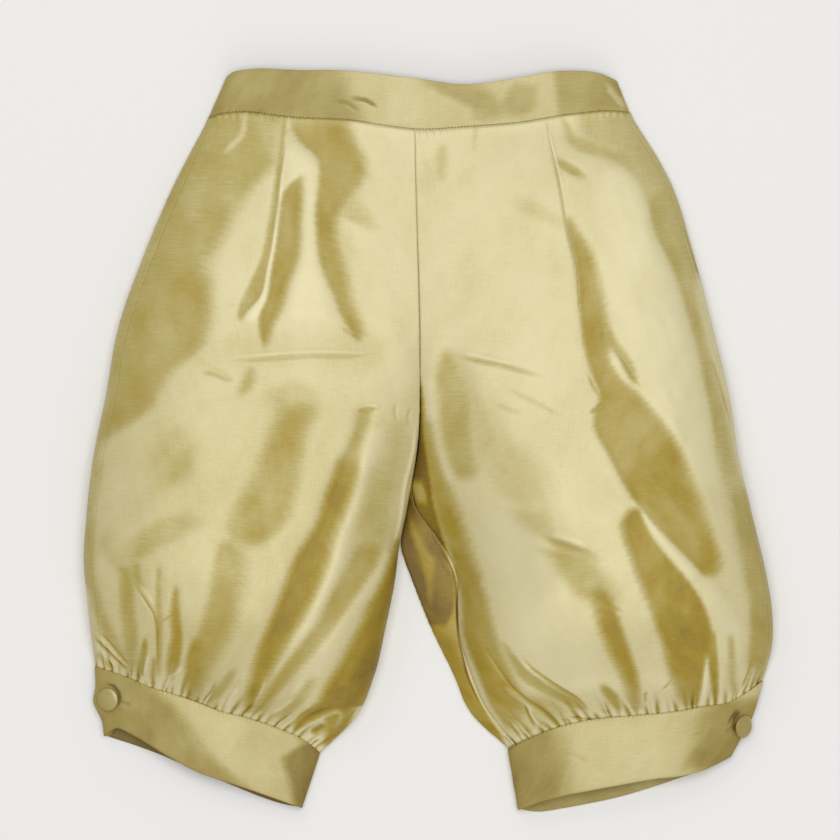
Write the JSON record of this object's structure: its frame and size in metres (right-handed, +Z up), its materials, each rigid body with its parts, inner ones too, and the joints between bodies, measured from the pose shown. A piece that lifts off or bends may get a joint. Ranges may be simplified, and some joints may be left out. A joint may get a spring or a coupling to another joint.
{
  "type": "knee breeches",
  "caption": "Child's gold silk knee breeches with a straight waistband, full legs gathered into buttoned knee bands, laid flat.",
  "frame": {"origin": "on the table under the middle of the garment as it lies on its back", "axes": "+Z up from the table through the garment's front, +Y towards the waist, +X towards the wearer's left"},
  "size_m": [0.4478, 0.4838, 0.0472],
  "materials": {
    "gold_silk": "crisp slubbed silk with a strong sheen",
    "gold_silk_band": "the same silk, doubled and pressed",
    "gold_silk_button": "the same silk drawn over a mould"
  },
  "bodies": {
    "root": {"waistband_front": "gold_silk_band", "waistband_back": "gold_silk_band", "front_panel_right": "gold_silk", "front_panel_left": "gold_silk", "back_panel_right": "gold_silk", "back_panel_left": "gold_silk", "knee_band_right": "gold_silk_band", "knee_band_left": "gold_silk_band", "button_right": "gold_silk_button", "button_left": "gold_silk_button"}
  },
  "joints": []
}
